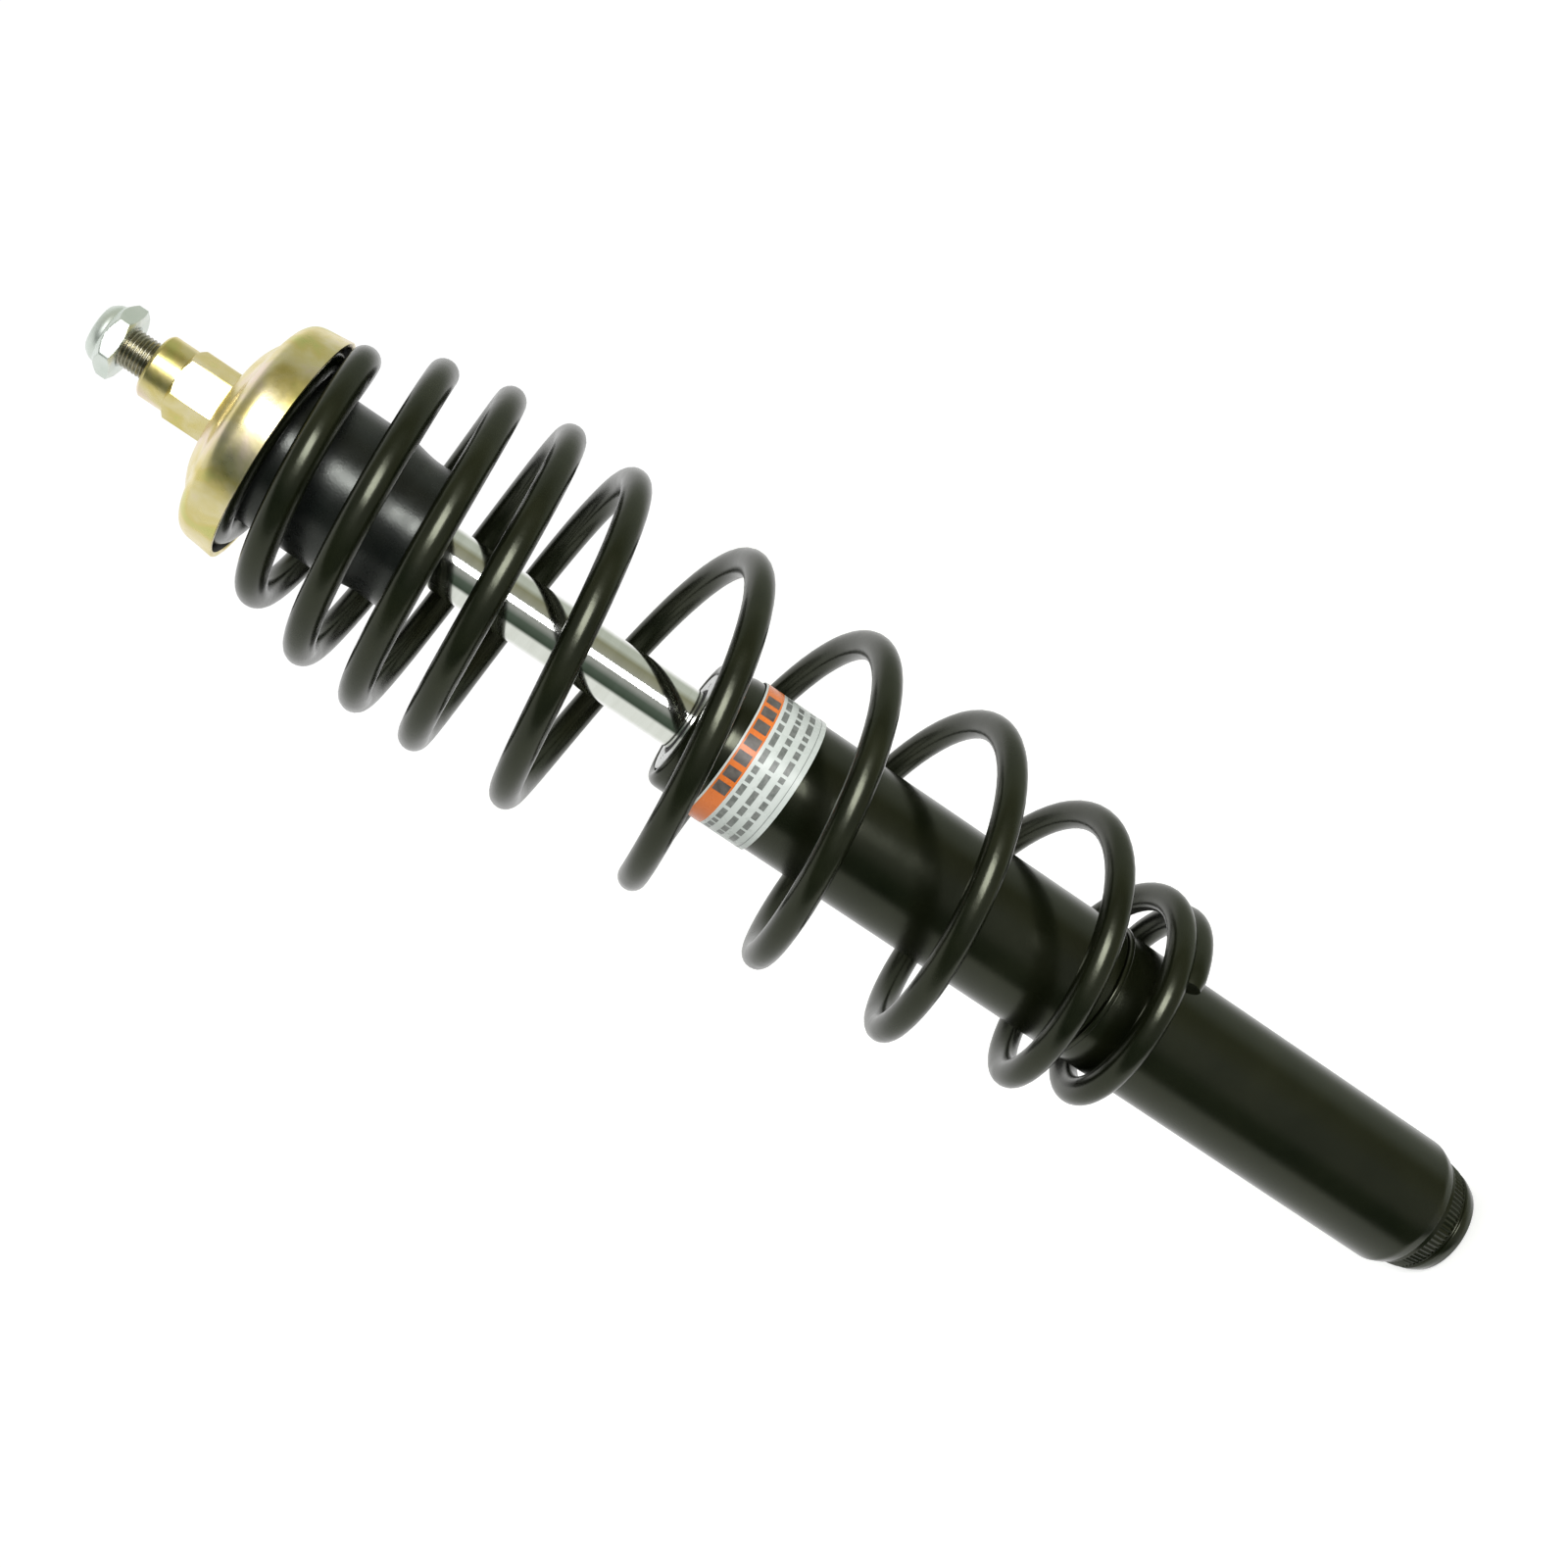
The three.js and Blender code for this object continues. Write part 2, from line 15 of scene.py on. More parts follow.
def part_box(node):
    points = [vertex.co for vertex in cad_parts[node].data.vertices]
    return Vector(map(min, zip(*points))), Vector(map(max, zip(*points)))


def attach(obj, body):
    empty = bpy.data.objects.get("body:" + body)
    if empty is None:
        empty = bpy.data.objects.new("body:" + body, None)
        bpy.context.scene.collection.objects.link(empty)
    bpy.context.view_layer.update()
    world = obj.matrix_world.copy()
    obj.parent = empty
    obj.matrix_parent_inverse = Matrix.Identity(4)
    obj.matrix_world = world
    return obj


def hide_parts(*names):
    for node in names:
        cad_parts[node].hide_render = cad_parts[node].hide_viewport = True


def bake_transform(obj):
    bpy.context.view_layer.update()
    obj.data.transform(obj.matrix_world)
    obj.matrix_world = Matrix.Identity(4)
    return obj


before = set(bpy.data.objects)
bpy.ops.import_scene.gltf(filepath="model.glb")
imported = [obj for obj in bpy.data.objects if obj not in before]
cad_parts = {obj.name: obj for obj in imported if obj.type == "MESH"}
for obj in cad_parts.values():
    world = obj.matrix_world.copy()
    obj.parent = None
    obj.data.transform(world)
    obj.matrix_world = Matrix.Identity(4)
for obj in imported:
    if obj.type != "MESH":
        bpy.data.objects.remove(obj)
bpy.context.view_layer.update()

MM = 0.001
SHARP_ANGLE = math.radians(32)
random.seed(4)


# Sizes from the frame, in millimetres


def bottom_of(node):
    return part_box(node)[0].z / MM


def top_of(node):
    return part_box(node)[1].z / MM


def radius_of(node):
    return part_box(node)[1].y / MM


TUBE_R = radius_of("strut_tube")
TUBE_BOTTOM = bottom_of("strut_tube")
TUBE_TOP = top_of("strut_tube")
FOOT_TOP = top_of("foot_cap")
FOOT_R = 13.9
NECK_R = TUBE_R - 0.6
RING_Z = (bottom_of("snap_ring") + top_of("snap_ring")) / 2
RING_R = TUBE_R + 0.9
LABEL_BOTTOM = bottom_of("label")
LABEL_TOP = top_of("label")
ROD_R = radius_of("piston_rod")
ROD_BOTTOM = bottom_of("piston_rod")
STUD_TOP = top_of("piston_rod")
STUD_R = 5.0
STUD_LENGTH = 34.8
THREAD_PITCH = 1.0
BUMP_BOTTOM = bottom_of("bump_stop")
BUMP_TOP = top_of("bump_stop")
BUMP_R = radius_of("bump_stop")
CUP_RIM = bottom_of("upper_spring_cup")
CUP_TOP = top_of("upper_spring_cup")
CUP_R = radius_of("upper_spring_cup")
SPACER_BOTTOM = bottom_of("hex_spacer")
SPACER_TOP = top_of("hex_spacer")
NUT_BOTTOM = bottom_of("lock_nut")
NUT_TOP = top_of("lock_nut")
HEX_FLAT_R = 8.5
HEX_CORNER_R = 2 * HEX_FLAT_R / math.sqrt(3)
STUD_BORE_R = 5.4
RING_GAP = math.radians(18)
NUT_TURN = math.radians(-3.5)
SPACER_TURN = math.radians(7)


# Mesh code


def new_piece(name, points, faces, finish, body=None):
    """A piece from points in millimetres, shaded smooth up to its edges.

    It rides on the body. A piece without one rides on none.
    """
    mesh = bpy.data.meshes.new(name)
    mesh.from_pydata([tuple(c * MM for c in p) for p in points], [], faces)
    work = bmesh.new()
    work.from_mesh(mesh)
    bmesh.ops.recalc_face_normals(work, faces=work.faces)
    work.to_mesh(mesh)
    work.free()
    mesh.shade_smooth()
    mesh.set_sharp_from_angle(angle=SHARP_ANGLE)
    mesh.materials.append(finish)
    piece = bpy.data.objects.new(name, mesh)
    bpy.context.scene.collection.objects.link(piece)
    if body:
        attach(piece, body)
    return piece


def rounded(points, closed, steps=6):
    """An outline whose points may carry a third number: how far from the corner it is rounded."""
    count = len(points)
    result = []
    for i, point in enumerate(points):
        here = Vector(point[:2])
        reach = point[2] if len(point) > 2 else 0
        if not reach or (not closed and i in (0, count - 1)):
            result.append(here)
            continue
        before = Vector(points[i - 1][:2]) - here
        after = Vector(points[(i + 1) % count][:2]) - here
        start = here + before.normalized() * min(reach, before.length * 0.49)
        end = here + after.normalized() * min(reach, after.length * 0.49)
        for k in range(steps + 1):
            t = k / steps
            result.append(start * (1 - t) ** 2 + here * 2 * t * (1 - t) + end * t**2)
    return result


def lathe(name, points, finish, body, segments=120, closed=True, relief=None, steps=6):
    """A turned piece. relief(angle, r, z) may change the radius, for flats, threads and knurls."""
    outline = rounded(points, closed, steps)
    verts, rows, faces = [], [], []
    for r, z in outline:
        if r < 1e-6:
            rows.append([len(verts)] * segments)
            verts.append((0, 0, z))
            continue
        row = []
        for k in range(segments):
            angle = 2 * math.pi * k / segments
            far = relief(angle, r, z) if relief else r
            row.append(len(verts))
            verts.append((far * math.cos(angle), far * math.sin(angle), z))
        rows.append(row)
    pairs = list(zip(rows, rows[1:]))
    if closed:
        pairs.append((rows[-1], rows[0]))
    for low, high in pairs:
        for k in range(segments):
            n = (k + 1) % segments
            corners = [low[k], low[n], high[n], high[k]]
            face = [c for i, c in enumerate(corners) if c not in corners[:i]]
            if len(face) > 2:
                faces.append(face)
    return new_piece(name, verts, faces, finish, body)


def wrap(patches, depth):
    """Thin curved patches on a cylinder, each (radius, z0, z1, from, to) with angles in degrees."""
    verts, faces = [], []
    for radius, z0, z1, start, end in patches:
        columns = max(2, int(abs(end - start) / 2) + 1)
        first = len(verts)
        for k in range(columns):
            angle = math.radians(start + (end - start) * k / (columns - 1))
            x, y = math.sin(angle), -math.cos(angle)
            for r, z in ((radius, z0), (radius + depth, z0), (radius + depth, z1), (radius, z1)):
                verts.append((r * x, r * y, z))
        for k in range(columns - 1):
            a = first + 4 * k
            for i in range(4):
                j = (i + 1) % 4
                faces.append([a + i, a + j, a + 4 + j, a + 4 + i])
        faces.append([first + i for i in range(4)])
        faces.append([first + 4 * (columns - 1) + i for i in range(4)])
    return verts, faces


def cut(piece, name, holes, radius, low, high):
    """Cuts round holes along Z, at (x, y) places, with a tool that is then thrown away."""
    mesh = bpy.data.meshes.new(name)
    work = bmesh.new()
    for x, y in holes:
        place = Matrix.Translation(Vector((x, y, (low + high) / 2)) * MM)
        bmesh.ops.create_cone(
            work, cap_ends=True, segments=24, radius1=radius * MM, radius2=radius * MM,
            depth=(high - low) * MM, matrix=place,
        )
    work.to_mesh(mesh)
    work.free()
    tool = bpy.data.objects.new(name, mesh)
    bpy.context.scene.collection.objects.link(tool)
    modifier = piece.modifiers.new(name, "BOOLEAN")
    modifier.operation = "DIFFERENCE"
    modifier.object = tool
    bpy.context.view_layer.update()
    evaluated = piece.evaluated_get(bpy.context.evaluated_depsgraph_get())
    piece.data = bpy.data.meshes.new_from_object(evaluated)
    piece.modifiers.clear()
    piece.data.set_sharp_from_angle(angle=SHARP_ANGLE)
    bpy.data.objects.remove(tool)


# Finishes


def finish(
    name, colours, roughness, metallic=0.0, patch=60.0, stretch=(1, 1, 1),
    bump=0.0, grain=900.0, specular=0.5, tint=(1, 1, 1),
):
    """A procedural material. Noise moves it through the colours and between two roughnesses."""
    material = bpy.data.materials.new(name)
    material.use_nodes = True
    nodes, links = material.node_tree.nodes, material.node_tree.links
    shader = nodes["Principled BSDF"]
    shader.inputs["Metallic"].default_value = metallic
    shader.inputs["Specular IOR Level"].default_value = specular
    shader.inputs["Specular Tint"].default_value = (*tint, 1)
    coordinates = nodes.new("ShaderNodeTexCoord")
    mapping = nodes.new("ShaderNodeMapping")
    mapping.inputs["Scale"].default_value = stretch
    links.new(coordinates.outputs["Object"], mapping.inputs["Vector"])

    patches = nodes.new("ShaderNodeTexNoise")
    patches.inputs["Scale"].default_value = patch
    patches.inputs["Detail"].default_value = 5
    patches.inputs["Distortion"].default_value = 0.4
    links.new(mapping.outputs["Vector"], patches.inputs["Vector"])
    ramp = nodes.new("ShaderNodeValToRGB")
    stops = ramp.color_ramp.elements
    while len(stops) < len(colours):
        stops.new(0.5)
    for i, colour in enumerate(colours):
        stops[i].position = 0.3 + 0.4 * i / max(1, len(colours) - 1)
        stops[i].color = (*colour, 1)
    links.new(patches.outputs["Fac"], ramp.inputs["Fac"])
    links.new(ramp.outputs["Color"], shader.inputs["Base Color"])

    smudges = nodes.new("ShaderNodeTexNoise")
    smudges.inputs["Scale"].default_value = patch * 2.3
    smudges.inputs["Detail"].default_value = 6
    links.new(mapping.outputs["Vector"], smudges.inputs["Vector"])
    spread = nodes.new("ShaderNodeMapRange")
    spread.inputs["From Min"].default_value = 0.3
    spread.inputs["From Max"].default_value = 0.7
    spread.inputs["To Min"].default_value = roughness[0]
    spread.inputs["To Max"].default_value = roughness[1]
    links.new(smudges.outputs["Fac"], spread.inputs["Value"])
    links.new(spread.outputs["Result"], shader.inputs["Roughness"])

    if bump:
        grains = nodes.new("ShaderNodeTexNoise")
        grains.inputs["Scale"].default_value = grain
        grains.inputs["Detail"].default_value = 3
        links.new(mapping.outputs["Vector"], grains.inputs["Vector"])
        relief = nodes.new("ShaderNodeBump")
        relief.inputs["Strength"].default_value = bump
        relief.inputs["Distance"].default_value = 0.0001
        links.new(grains.outputs["Fac"], relief.inputs["Height"])
        links.new(relief.outputs["Normal"], shader.inputs["Normal"])
    return material


OLIVE_TINT = (0.92, 0.96, 0.74)
black_paint = finish(
    "black_paint", [(0.002, 0.003, 0.001), (0.006, 0.007, 0.003)], (0.18, 0.24),
    patch=45, bump=0.10, grain=700, specular=0.52, tint=OLIVE_TINT,
)
spring_black = finish(
    "spring_black", [(0.002, 0.003, 0.001), (0.006, 0.007, 0.003)], (0.20, 0.28),
    patch=70, bump=0.18, grain=900, specular=0.52, tint=OLIVE_TINT,
)
bump_foam = finish(
    "bump_foam", [(0.003, 0.004, 0.004), (0.008, 0.009, 0.008)], (0.24, 0.33),
    patch=120, bump=0.25, grain=1500, specular=0.5, tint=(0.96, 1.0, 0.94),
)
chrome = finish(
    "chrome", [(0.76, 0.77, 0.73), (0.84, 0.85, 0.82)], (0.05, 0.10),
    metallic=1, patch=40, stretch=(1, 1, 12),
)
yellow_zinc = finish(
    "yellow_zinc",
    [(0.60, 0.62, 0.20), (0.74, 0.62, 0.24), (0.82, 0.72, 0.42), (0.84, 0.70, 0.56)],
    (0.24, 0.36), metallic=1, patch=95, bump=0.12, grain=1100,
)
# Near-black painted shade for the inside of the cup, standing in for the shadow that falls there.
cup_inside_painted_shade = finish(
    "cup_inside_painted_shade", [(0.010, 0.010, 0.008), (0.020, 0.020, 0.016)], (0.35, 0.50), patch=90,
)
clear_zinc = finish(
    "clear_zinc", [(0.74, 0.80, 0.75), (0.84, 0.88, 0.85)], (0.40, 0.50),
    metallic=1, patch=150, bump=0.25, grain=1200,
)
thread_steel = finish(
    "thread_steel", [(0.28, 0.27, 0.20), (0.42, 0.40, 0.33)], (0.22, 0.34), metallic=1, patch=300,
)
gland_steel = finish(
    "gland_steel", [(0.62, 0.63, 0.62), (0.76, 0.77, 0.76)], (0.25, 0.38), metallic=1, patch=200,
)
plain_steel = finish(
    "plain_steel", [(0.42, 0.42, 0.42), (0.52, 0.52, 0.51)], (0.30, 0.42), metallic=1, patch=120,
)
sintered_iron = finish(
    "sintered_iron", [(0.20, 0.20, 0.20), (0.30, 0.30, 0.29)], (0.50, 0.65), metallic=0.8,
    patch=400, bump=0.4, grain=2500,
)
bronze = finish(
    "bronze", [(0.50, 0.32, 0.14), (0.62, 0.42, 0.20)], (0.28, 0.40), metallic=1, patch=160,
)
seal_rubber = finish(
    "seal_rubber", [(0.012, 0.012, 0.012), (0.022, 0.022, 0.022)], (0.45, 0.60), patch=200,
)
nylon = finish("nylon", [(0.68, 0.68, 0.64), (0.76, 0.76, 0.72)], (0.35, 0.48), patch=150)
label_white = finish(
    "label_white", [(0.44, 0.475, 0.45), (0.49, 0.52, 0.50)], (0.24, 0.32), patch=100,
)
label_orange = finish(
    "label_orange", [(0.54, 0.125, 0.016), (0.62, 0.155, 0.022)], (0.22, 0.30), patch=100,
)
label_ink = finish(
    "label_ink", [(0.06, 0.05, 0.045), (0.11, 0.10, 0.09)], (0.30, 0.40), patch=500,
)
label_grey = finish(
    "label_grey", [(0.10, 0.11, 0.10), (0.18, 0.19, 0.18)], (0.30, 0.40), patch=900,
)


# The tube and what closes it


def build_tube():
    wall = 2.0
    inner = TUBE_R - wall
    neck_inner = NECK_R - wall
    groove = 1.05
    crimp_low, crimp_high = TUBE_TOP - 9.4, TUBE_TOP - 7.3
    lip_inner = 14.8
    tube = lathe("tube_shell", [
        (inner, TUBE_BOTTOM),
        (TUBE_R - 1.2, TUBE_BOTTOM, 0.25),
        (TUBE_R, TUBE_BOTTOM + 3, 0.8),
        (TUBE_R, RING_Z - groove, 0.15),
        (TUBE_R - 0.9, RING_Z - groove),
        (TUBE_R - 0.9, RING_Z + groove),
        (TUBE_R, RING_Z + groove, 0.15),
        (TUBE_R, crimp_low, 0.9),
        (NECK_R, crimp_high, 0.9),
        (NECK_R, TUBE_TOP - 1.6, 1.6),
        (NECK_R - 1.4, TUBE_TOP, 1.3),
        (lip_inner + 0.8, TUBE_TOP - 0.1, 0.5),
        (lip_inner, TUBE_TOP - 0.5, 0.3),
        (lip_inner, TUBE_TOP - 1.6),
        (neck_inner, TUBE_TOP - 1.6),
        (neck_inner, crimp_high),
        (inner, crimp_low),
    ], black_paint, "tube_body", segments=160)
    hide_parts("strut_tube")


def build_gland():
    plate_top = TUBE_TOP - 0.25
    plate_r = 14.3
    hole_r = ROD_R + 0.5
    bottom = bottom_of("gland_cap")
    seat = TUBE_TOP - 1.95
    plate = lathe("gland_plate", [
        (hole_r, bottom),
        (16.0, bottom),
        (16.0, seat),
        (plate_r, seat),
        (plate_r, plate_top, 0.35),
        (hole_r + 1.1, plate_top, 0.15),
        (hole_r + 0.9, plate_top - 0.4, 0.15),
        (hole_r, plate_top - 0.5, 0.2),
    ], gland_steel, "tube_body")
    spot = 10.9
    cut(plate, "spanner_spots", [(spot, 0), (-spot, 0)], 0.75, plate_top - 0.7, plate_top + 1)
    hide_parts("gland_cap")
    wiper = lathe("rod_wiper", [
        (hole_r - 0.28, plate_top - 0.5),
        (hole_r + 0.75, plate_top - 0.5),
        (hole_r + 0.75, plate_top - 0.1, 0.15),
        (hole_r + 0.1, plate_top + 0.35, 0.2),
        (hole_r - 0.28, plate_top + 0.2, 0.1),
    ], seal_rubber, "tube_body")


def build_foot():
    teeth = 72
    knurl_low, knurl_high = 5.6, 9.6

    def knurl(angle, r, z):
        if r < FOOT_R or not knurl_low < z < knurl_high:
            return r
        return r - 0.16 * (1 + math.cos(teeth * angle))

    spigot = TUBE_R - 2.35
    skirt_top = TUBE_BOTTOM - 0.3
    foot = lathe("foot_plug", [
        (0, 0),
        (FOOT_R, 0, 0.5),
        (FOOT_R + 1.3, 2.6, 0.8),
        (FOOT_R + 1.65, 4.1, 0.25),
        (FOOT_R + 1.1, 4.5, 0.15),
        (FOOT_R + 1.1, 5.1, 0.15),
        (FOOT_R + 2.1, 5.5, 0.2),
        (FOOT_R + 2.3, 6.4),
        (FOOT_R + 2.7, 8.6),
        (FOOT_R + 2.9, 9.6, 0.2),
        (FOOT_R + 3.0, skirt_top, 0.2),
        (spigot, skirt_top),
        (spigot, FOOT_TOP),
        (0, FOOT_TOP),
    ], black_paint, "tube_body", segments=teeth * 6, closed=False, relief=knurl)
    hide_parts("foot_cap")


def build_ring():
    """The open retaining ring: a round-cornered band with a gap at the back."""
    section = rounded([
        (TUBE_R - 0.55, RING_Z - 0.75, 0.2),
        (RING_R, RING_Z - 0.75, 0.45),
        (RING_R, RING_Z + 0.75, 0.45),
        (TUBE_R - 0.55, RING_Z + 0.75, 0.2),
    ], True)
    columns = 140
    verts, faces = [], []
    for k in range(columns):
        angle = math.pi / 2 + RING_GAP / 2 + (2 * math.pi - RING_GAP) * k / (columns - 1)
        verts += [(r * math.cos(angle), r * math.sin(angle), z) for r, z in section]
    size = len(section)
    for k in range(columns - 1):
        for i in range(size):
            j = (i + 1) % size
            faces.append([k * size + i, k * size + j, (k + 1) * size + j, (k + 1) * size + i])
    faces.append(list(range(size)))
    faces.append([(columns - 1) * size + i for i in range(size)])
    ring = new_piece("retaining_ring", verts, faces, black_paint, "tube_body")
    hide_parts("snap_ring")


def build_label():
    """A printed label. Plain bars stand for its word and its lines of small print."""
    paper_r = TUBE_R + 0.35
    depth = 0.25
    reach = 120
    paper = new_piece(
        "label_paper", *wrap([(paper_r, LABEL_BOTTOM, LABEL_TOP, -reach, reach)], depth),
        label_white, "tube_body",
    )
    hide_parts("label")
    ink_r = paper_r + depth + 0.01
    orange_low, orange_high = LABEL_TOP - 5.4, LABEL_TOP - 0.55
    band = new_piece(
        "label_band", *wrap([(ink_r, orange_low, orange_high, -reach + 2, reach - 2)], 0.03),
        label_orange, "tube_body",
    )

    blocks = 7
    first, last = -31, 64
    step = (last - first) / blocks
    word_low, word_high = orange_low + 0.5, orange_high - 0.5
    word = [
        (ink_r + 0.04, word_low, word_high, first + step * k, first + step * (k + 0.68))
        for k in range(blocks)
    ]
    bars = new_piece("label_word_bars", *wrap(word, 0.02), label_ink, "tube_body")

    lines = []
    line_height, line_step = 1.6, 3.5
    for row in range(3):
        z = orange_low - 1.8 - line_step * row
        angle = -78 + 3 * row
        while angle < 76:
            width = random.uniform(4, 13)
            lines.append((ink_r, z - line_height / 2, z + line_height / 2, angle, angle + width))
            angle += width + random.uniform(2.2, 3.4)
    border = LABEL_BOTTOM + 1.4
    lines.append((ink_r, border, border + 0.16, -110, 110))
    print_bars = new_piece("label_line_bars", *wrap(lines, 0.02), label_grey, "tube_body")


# The rod and what is on it


def build_rod():
    """The chromed rod down to its piston spigot, and the dark threaded stud above it."""
    shoulder = STUD_TOP - STUD_LENGTH
    piston_shoulder = ROD_BOTTOM + 24
    core_r = STUD_R - 1
    core_top = shoulder + 0.4
    rod = lathe("damper_rod", [
        (0, ROD_BOTTOM),
        (STUD_R, ROD_BOTTOM, 0.5),
        (STUD_R, piston_shoulder),
        (ROD_R, piston_shoulder, 0.4),
        (ROD_R, shoulder, 0.6),
        (core_r, shoulder, 0.2),
        (core_r, core_top),
        (0, core_top),
    ], chrome, "rod_group", closed=False)
    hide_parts("piston_rod")

    depth = 0.45 * THREAD_PITCH
    start, end = core_top, STUD_TOP
    thread_end = end - 0.8
    runout = 2 * THREAD_PITCH
    rows_per_turn = 10

    def thread(angle, r, z):
        phase = (z / THREAD_PITCH - angle / (2 * math.pi)) % 1
        fade = min(1, max(0, (thread_end - z) / runout))
        crest = min(1, 1.25 * abs(2 * phase - 1))
        return r - depth * (1 - crest) * fade

    rows = int((thread_end - start) / THREAD_PITCH * rows_per_turn)
    side = [(STUD_R, start + (thread_end - start) * k / rows) for k in range(rows + 1)]
    stud = lathe(
        "threaded_stud", [(0, start), *side, (STUD_R - 0.8, end, 0.2), (0, end)],
        thread_steel, "rod_group", segments=60, closed=False, relief=thread,
    )


def build_bump_stop():
    bore = ROD_R + 0.4
    stop = lathe("bump_foam_stop", [
        (bore, BUMP_BOTTOM, 0.3),
        (15.8, BUMP_BOTTOM, 1.2),
        (18.3, BUMP_BOTTOM + 1.4, 1.2),
        (19.2, BUMP_BOTTOM + 5, 2),
        (18.8, BUMP_BOTTOM + 11.4, 3),
        (19.4, BUMP_BOTTOM + 15.5, 2),
        (BUMP_R, BUMP_BOTTOM + 19, 2),
        (BUMP_R, BUMP_TOP - 6, 2),
        (18.4, BUMP_TOP - 2, 1.5),
        (15, BUMP_TOP - 0.6, 1),
        (12, BUMP_TOP, 0.6),
        (bore, BUMP_TOP, 0.3),
    ], bump_foam, "rod_group", segments=144)
    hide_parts("bump_stop")


def build_cup():
    """The sheet cup, with painted shade on its inner faces, and the rubber seat between it and the
    spring.
    """
    bore = STUD_BORE_R
    cup = lathe("spring_cup", [
        (bore, CUP_TOP - 2, 0.3),
        (12.8, CUP_TOP - 2, 1),
        (16.8, CUP_TOP - 2.9, 1.2),
        (19.8, CUP_TOP - 4.7, 1.2),
        (21.4, CUP_TOP - 5.7, 0.8),
        (25.2, CUP_TOP - 6.6, 1.5),
        (28.0, CUP_TOP - 8.7, 1.6),
        (28.9, CUP_TOP - 11.6, 2),
        (CUP_R - 1.3, CUP_RIM, 0.4),
        (CUP_R, CUP_RIM, 0.4),
        (CUP_R - 0.6, CUP_TOP - 11.9, 2),
        (CUP_R - 1.1, CUP_TOP - 7.5, 2.6),
        (27.7, CUP_TOP - 5.1, 2.2),
        (22.6, CUP_TOP - 3.7, 1.8),
        (20.6, CUP_TOP - 2.4, 1.2),
        (17.7, CUP_TOP - 0.95, 1.5),
        (13.4, CUP_TOP - 0.1, 1.6),
        (bore, CUP_TOP, 0.4),
    ], yellow_zinc, "rod_group", segments=180, steps=8)
    # Faces inside the rim that point inwards or downwards get the painted shade.
    cup.data.materials.append(cup_inside_painted_shade)
    for face in cup.data.polygons:
        middle = face.center / MM
        inward = face.normal.x * middle.x + face.normal.y * middle.y < -1
        if middle.z > CUP_RIM + 0.3 and (inward or face.normal.z < -0.3):
            face.material_index = 1
    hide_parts("upper_spring_cup")
    seat_low = bottom_of("spring_isolator")
    isolator = lathe("spring_seat_pad", [
        (21, seat_low, 0.2),
        (26.0, seat_low, 0.2),
        (26.0, seat_low + 0.6, 0.3),
        (24.2, seat_low + 1.4, 0.5),
        (21.6, seat_low + 1.9, 0.4),
        (21, seat_low + 1.8, 0.2),
    ], seal_rubber, "rod_group")
    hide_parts("spring_isolator")


def flats(turn):
    """Relief that cuts a hexagon, one corner at the given angle, out of a turned blank."""
    def relief(angle, r, z):
        off = (angle - turn) % (math.pi / 3) - math.pi / 6
        return min(r, HEX_FLAT_R / math.cos(off))
    return relief


def chamfer_rows(z_edge, z_inner, r_edge, r_inner, rows=7):
    """Rows of a cone that rounds the corners at one end of a hexagon."""
    return [
        (r_edge + (r_inner - r_edge) * k / rows, z_edge + (z_inner - z_edge) * k / rows)
        for k in range(rows + 1)
    ]


def build_spacer():
    bore = STUD_BORE_R
    hex_top = SPACER_TOP - 7.2
    shoulder_r = 8.5
    hexagon = flats(SPACER_TURN)

    def relief(angle, r, z):
        return hexagon(angle, r, z) if z <= hex_top + 1e-6 and r > HEX_FLAT_R - 0.3 else r

    spacer = lathe("hex_spacer_body", [
        (bore, SPACER_BOTTOM),
        *chamfer_rows(SPACER_BOTTOM, SPACER_BOTTOM + 0.4, HEX_FLAT_R + 0.5, HEX_CORNER_R + 0.05),
        *chamfer_rows(hex_top - 1.1, hex_top, HEX_CORNER_R + 0.05, HEX_FLAT_R - 0.1),
        (shoulder_r - 0.1, hex_top + 0.05),
        (shoulder_r, hex_top + 0.4),
        (shoulder_r, SPACER_TOP - 0.8, 0.3),
        (shoulder_r - 0.8, SPACER_TOP, 0.3),
        (bore, SPACER_TOP, 0.3),
    ], yellow_zinc, "rod_group", segments=144, relief=relief)
    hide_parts("hex_spacer")


def build_nut():
    hex_top = NUT_TOP - 3.1
    bore = 5.05
    hexagon = flats(NUT_TURN)

    def relief(angle, r, z):
        return hexagon(angle, r, z) if z <= hex_top + 1e-6 and r > HEX_FLAT_R - 0.9 else r

    nut = lathe("lock_nut_body", [
        (bore + 0.6, NUT_BOTTOM, 0.1),
        *chamfer_rows(NUT_BOTTOM, NUT_BOTTOM + 0.7, HEX_FLAT_R + 0.1, HEX_CORNER_R + 0.05),
        *chamfer_rows(hex_top - 1.9, hex_top, HEX_CORNER_R + 0.05, HEX_FLAT_R - 0.6, rows=10),
        (7.7, hex_top + 0.1, 0.2),
        (7.5, hex_top + 1.3, 1.2),
        (6.3, NUT_TOP - 0.2, 1.0),
        (5.9, NUT_TOP, 0.2),
        (5.6, NUT_TOP - 0.4, 0.2),
        (6.2, NUT_TOP - 0.9, 0.2),
        (6.9, hex_top, 0.2),
        (bore, hex_top),
        (bore, NUT_BOTTOM + 0.6),
    ], clear_zinc, "rod_group", segments=144, relief=relief)
    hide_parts("lock_nut")
    collar = lathe("nut_collar_ring", [
        (5.15, hex_top + 0.3, 0.3),
        (6.5, hex_top + 0.3, 0.2),
        (6.1, NUT_TOP - 1.0, 0.3),
        (5.15, NUT_TOP - 1.0, 0.4),
    ], nylon, "rod_group")
    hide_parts("nut_nylon_insert")


# The spring: a right-handed barrel. A turn is counted from the wire's first crossing of +X.

